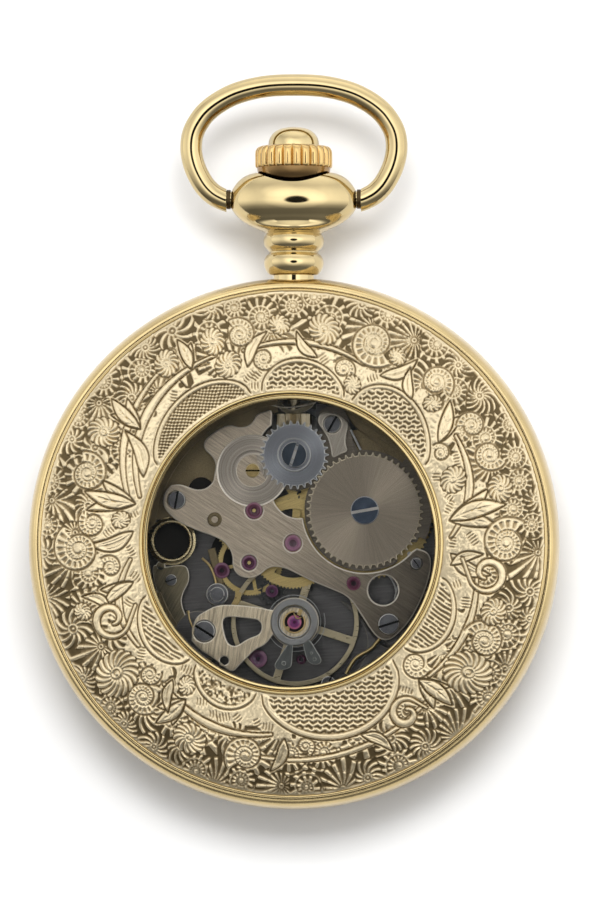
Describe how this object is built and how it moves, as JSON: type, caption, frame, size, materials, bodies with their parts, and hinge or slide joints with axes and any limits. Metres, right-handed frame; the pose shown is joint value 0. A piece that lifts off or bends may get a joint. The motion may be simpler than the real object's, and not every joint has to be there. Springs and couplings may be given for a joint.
{
  "type": "pocket watch",
  "caption": "Hunter-case mechanical pocket watch: sprung front lid, window back over the movement, turning crown with lid button, swinging bow.",
  "frame": {"origin": "on the case axis, at the centre of the flat medallion outside the front lid, where the watch rests on a table", "axes": "+Z towards the pendant and crown (12 o'clock), -Y out of the window back, +Y out of the dial side and front lid, +X to the right seen from the back"},
  "size_m": [0.047, 0.0125, 0.065],
  "materials": {
    "gold_case": "polished gold-tone plate, engraved on the covers",
    "brass_wheels": "fine turned brass",
    "balance_gilt": "pale gilt, polished",
    "bridge_grey": "warm grey plating, brushed, polished bevels",
    "dark_plate": "dark matte plating",
    "ratchet_grey": "sunburst",
    "blue_grey": "fine circular grain",
    "blued_steel": "tempered, satin",
    "steel": "polished",
    "ruby": "polished jewel",
    "enamel": "off-white satin dial",
    "glass": "clear mineral glass"
  },
  "bodies": {
    "case": {"case_band": "gold_case", "back_cover": "gold_case", "window_bezel": "gold_case", "back_glass": "glass", "lid_hinge_pin": "steel", "front_bezel": "gold_case", "front_crystal": "glass", "lid_spring": "steel", "pendant": "gold_case", "movement_ring": "brass_wheels", "main_plate": "dark_plate", "dial": "enamel", "train_bridge": "bridge_grey", "barrel_bridge": "bridge_grey", "cover_plate": "bridge_grey", "crown_wheel_seat": "steel", "crown_wheel_screw": "blued_steel", "click_screw": "blued_steel", "click_spring": "steel", "hairspring": "blued_steel", "balance_cock": "bridge_grey", "cock_screw": "blued_steel", "shock_setting": "brass_wheels", "bridge_screw_left": "steel", "bridge_screw_right": "steel", "setting_lever_screw": "steel", "jewel_centre": "ruby", "jewel_third": "ruby", "jewel_fourth": "ruby"},
    "front_lid": {"front_lid": "gold_case"},
    "bow": {"bow": "gold_case"},
    "winding_pinion": {"winding_pinion": "steel"},
    "sliding_pinion": {"sliding_pinion": "steel"},
    "crown": {"crown": "gold_case", "winding_stem": "steel"},
    "crown_button": {"crown_button": "gold_case"},
    "lid_catch": {"lid_catch": "steel"},
    "crown_wheel": {"crown_wheel": "blue_grey"},
    "ratchet": {"ratchet_wheel": "ratchet_grey", "ratchet_screw": "blued_steel", "barrel_arbor": "steel"},
    "barrel": {"barrel": "brass_wheels", "barrel_cover": "brass_wheels", "mainspring": "steel"},
    "centre": {"centre_wheel": "brass_wheels", "cannon_pinion": "steel", "minute_hand": "blued_steel"},
    "hour": {"hour_wheel": "brass_wheels", "hour_hand": "blued_steel"},
    "minute_wheel": {"minute_wheel": "brass_wheels"},
    "setting_wheel": {"setting_wheel": "steel"},
    "third_wheel": {"third_wheel": "brass_wheels"},
    "fourth_wheel": {"fourth_wheel": "brass_wheels"},
    "escape_wheel": {"escape_wheel": "steel"},
    "pallet_fork": {"pallet_fork": "steel"},
    "balance": {"balance_wheel": "balance_gilt"},
    "regulator": {"regulator": "dark_plate"},
    "click": {"click": "steel"},
    "setting_lever": {"setting_lever": "steel"},
    "yoke": {"yoke": "steel"}
  },
  "joints": [
    {"name": "bow_swing", "type": "hinge", "parent": "case", "child": "bow", "pos_m": [0, -0.0068, 0.0305], "axis": [1, 0, 0], "range_deg": [-90, 90]},
    {"name": "lid_hinge", "type": "hinge", "parent": "case", "child": "front_lid", "pos_m": [0, -0.00427, -0.02275], "axis": [-1, 0, 0], "range_deg": [0, 95]},
    {"name": "crown_turn", "type": "hinge", "parent": "case", "child": "winding_pinion", "pos_m": [0, -0.0068, 0.0107], "axis": [0, 0, 1], "continuous": true},
    {"name": "crown_pull", "type": "slide", "parent": "winding_pinion", "child": "crown", "axis": [0, 0, 1], "range_m": [0, 0.0008]},
    {"name": "clutch_slide", "type": "slide", "parent": "winding_pinion", "child": "sliding_pinion", "axis": [0, 0, -1], "range_m": [0, 0.0006]},
    {"name": "lid_button", "type": "slide", "parent": "crown", "child": "crown_button", "axis": [0, 0, -1], "range_m": [0, 0.0008]},
    {"name": "lid_catch_slide", "type": "slide", "parent": "case", "child": "lid_catch", "axis": [0, 0, -1], "range_m": [0, 0.0008]},
    {"name": "crown_wheel_turn", "type": "hinge", "parent": "case", "child": "crown_wheel", "pos_m": [0.00012, -0.0068, 0.0078], "axis": [0, 1, 0], "continuous": true},
    {"name": "ratchet_turn", "type": "hinge", "parent": "case", "child": "ratchet", "pos_m": [0.00635, -0.0068, 0.00289], "axis": [0, 1, 0], "continuous": true},
    {"name": "hands_turn", "type": "hinge", "parent": "case", "child": "centre", "pos_m": [0, -0.0068, 0], "axis": [0, -1, 0], "continuous": true},
    {"name": "hour_turn", "type": "hinge", "parent": "case", "child": "hour", "pos_m": [0, -0.0068, 0], "axis": [0, -1, 0], "continuous": true},
    {"name": "minute_wheel_turn", "type": "hinge", "parent": "case", "child": "minute_wheel", "pos_m": [-0.0011, -0.0068, 0.00292], "axis": [0, -1, 0], "continuous": true},
    {"name": "setting_wheel_turn", "type": "hinge", "parent": "case", "child": "setting_wheel", "pos_m": [0.0009, -0.0068, 0.00596], "axis": [0, -1, 0], "continuous": true},
    {"name": "barrel_turn", "type": "hinge", "parent": "case", "child": "barrel", "pos_m": [0.00635, -0.0068, 0.00289], "axis": [0, -1, 0], "continuous": true, "deforming": ["mainspring"]},
    {"name": "third_wheel_turn", "type": "hinge", "parent": "case", "child": "third_wheel", "pos_m": [-0.00343, -0.0068, 0.00289], "axis": [0, -1, 0], "continuous": true},
    {"name": "fourth_wheel_turn", "type": "hinge", "parent": "case", "child": "fourth_wheel", "pos_m": [-0.00386, -0.0068, -0.00172], "axis": [0, -1, 0], "continuous": true},
    {"name": "escape_wheel_turn", "type": "hinge", "parent": "case", "child": "escape_wheel", "pos_m": [-0.0019, -0.0068, -0.00422], "axis": [0, -1, 0], "continuous": true},
    {"name": "pallet_rock", "type": "hinge", "parent": "case", "child": "pallet_fork", "pos_m": [-0.00086, -0.0068, -0.00563], "axis": [0, -1, 0], "range_deg": [-5, 5]},
    {"name": "balance_swing", "type": "hinge", "parent": "case", "child": "balance", "pos_m": [0.00013, -0.0068, -0.00696], "axis": [0, -1, 0], "range_deg": [-270, 270], "stiffness_Nm_per_rad": 0.00000028, "deforming": ["hairspring"]},
    {"name": "regulator_turn", "type": "hinge", "parent": "case", "child": "regulator", "pos_m": [0.00013, -0.0068, -0.00696], "axis": [0, -1, 0], "range_deg": [-12, 12]},
    {"name": "click_pivot", "type": "hinge", "parent": "case", "child": "click", "pos_m": [0.0109, -0.0068, -0.0018], "axis": [0, -1, 0], "range_deg": [0, 12]},
    {"name": "setting_lever_turn", "type": "hinge", "parent": "case", "child": "setting_lever", "pos_m": [0.00347, -0.0068, 0.0105], "axis": [0, 1, 0], "range_deg": [0, 14]},
    {"name": "yoke_turn", "type": "hinge", "parent": "case", "child": "yoke", "pos_m": [-0.0042, -0.0068, 0.0094], "axis": [0, 1, 0], "range_deg": [0, 9]}
  ],
  "couplings": [
    {"joint": "clutch_slide", "follows": "crown_pull", "ratio": 0.75},
    {"joint": "setting_lever_turn", "follows": "crown_pull", "rad_per_m": 297.62},
    {"joint": "yoke_turn", "follows": "crown_pull", "rad_per_m": 178.57},
    {"joint": "lid_catch_slide", "follows": "lid_button", "ratio": 1},
    {"joint": "crown_wheel_turn", "follows": "crown_turn", "ratio": 0.53333},
    {"joint": "ratchet_turn", "follows": "crown_turn", "ratio": -0.30769},
    {"joint": "hour_turn", "follows": "hands_turn", "ratio": 0.083333},
    {"joint": "minute_wheel_turn", "follows": "hands_turn", "ratio": -0.33333},
    {"joint": "setting_wheel_turn", "follows": "hands_turn", "ratio": 0.6},
    {"joint": "barrel_turn", "follows": "hands_turn", "ratio": -0.15385},
    {"joint": "third_wheel_turn", "follows": "hands_turn", "ratio": -8},
    {"joint": "fourth_wheel_turn", "follows": "hands_turn", "ratio": 60},
    {"joint": "escape_wheel_turn", "follows": "hands_turn", "ratio": -600}
  ]
}
